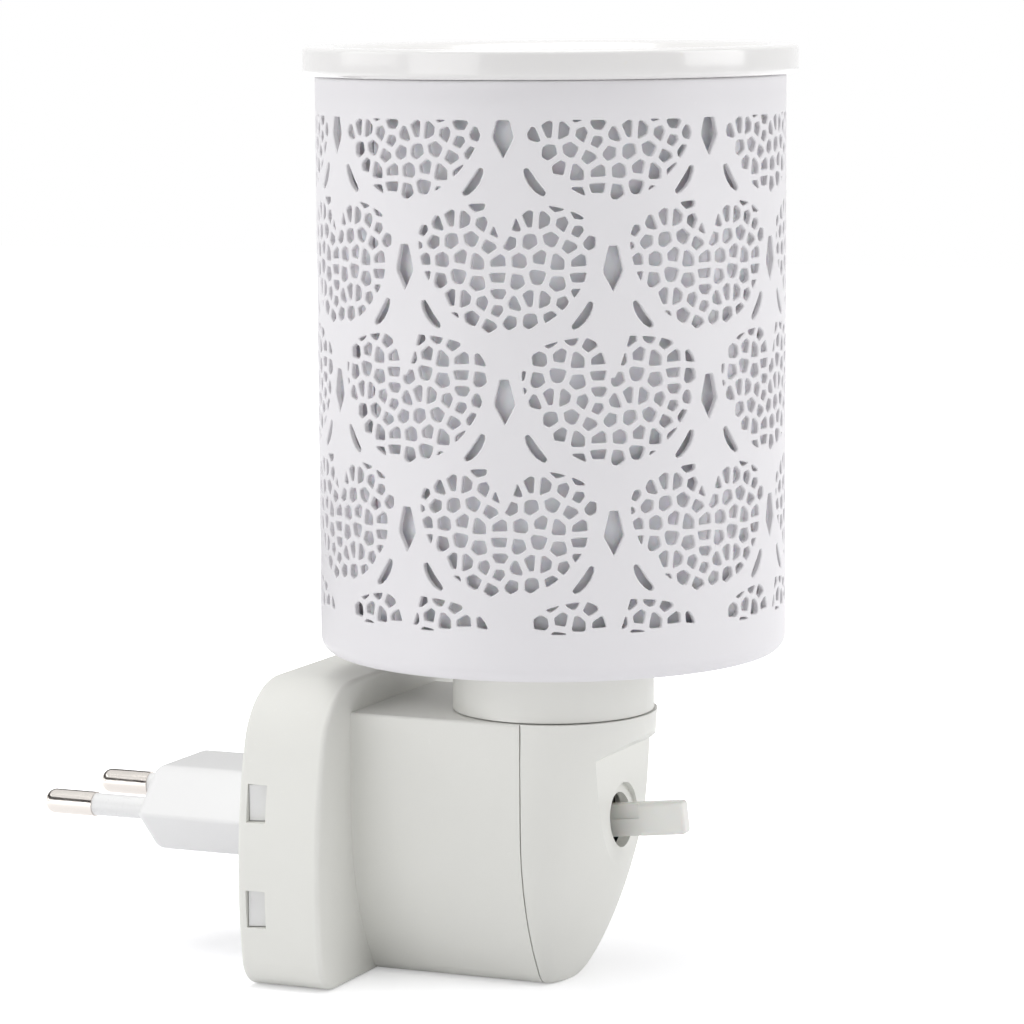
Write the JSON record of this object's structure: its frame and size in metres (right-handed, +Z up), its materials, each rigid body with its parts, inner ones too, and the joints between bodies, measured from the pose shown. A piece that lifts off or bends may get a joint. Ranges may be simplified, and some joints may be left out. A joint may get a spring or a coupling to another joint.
{
  "type": "plug-in wax melt warmer",
  "caption": "Plug-in wax melt warmer: loose dish on a pierced cylindrical shade over a heating lamp, on a housing with a two-pin plug and a rotary paddle switch.",
  "frame": {"origin": "midway between the two plug pins on the plug's engagement face", "axes": "+X out of the wall towards the switch, +Z up along the lamp, +Y to the left seen from the wall"},
  "size_m": [0.1236, 0.076, 0.1455],
  "materials": {
    "dish_glaze": "opaque glazed ceramic, glossy",
    "shade_paint": "fine satin powder paint on thin steel",
    "liner_film": "translucent white film",
    "lamp_glass": "clear lamp glass",
    "filament_metal": "drawn wire",
    "lamp_cap": "rolled sheet",
    "solder": "dull solder",
    "black_glass": "opaque black glass",
    "holder_plastic": "moulded, fine texture",
    "ceramic": "opaque steatite, matt",
    "contact_brass": "stamped sheet",
    "housing_plastic": "moulded, fine texture",
    "plug_plastic": "moulded, smooth",
    "sleeve_plastic": "smooth sleeve",
    "pin_nickel": "nickel plate on brass",
    "screw_steel": "zinc plate",
    "switch_case": "black moulding",
    "key_plastic": "moulded, semi-gloss",
    "lead_brown": "wire insulation",
    "lead_blue": "wire insulation"
  },
  "bodies": {
    "warmer": {"bulb_cap": "lamp_cap", "bulb_contact": "solder", "bulb_glass": "lamp_glass", "bulb_insulator": "black_glass", "bulb_stem": "lamp_glass", "centre_contact": "contact_brass", "contact_carrier": "ceramic", "diffuser_liner": "liner_film", "filament": "filament_metal", "front_housing": "housing_plastic", "housing_screws": "screw_steel", "lampholder": "holder_plastic", "lead_live": "lead_brown", "lead_neutral": "lead_blue", "lead_switched": "lead_brown", "pin_sleeves": "sleeve_plastic", "pin_terminals": "contact_brass", "plug_insert": "plug_plastic", "plug_pins": "pin_nickel", "rear_housing": "housing_plastic", "shade": "shade_paint", "shade_ring": "holder_plastic", "switch_body": "switch_case", "switch_tabs": "contact_brass", "terminal_screws": "screw_steel", "thread_shell": "contact_brass"},
    "dish": {"wax_dish": "dish_glaze"},
    "key": {"switch_key": "key_plastic"}
  },
  "joints": [
    {"name": "dish_lift", "type": "slide", "parent": "warmer", "child": "dish", "axis": [0, 0, 1], "range_m": [0, 0.06]},
    {"name": "key_turn", "type": "hinge", "parent": "warmer", "child": "key", "pos_m": [0.0783, 0, 0.0024], "axis": [0.9936, 0, 0.1132], "continuous": true}
  ]
}
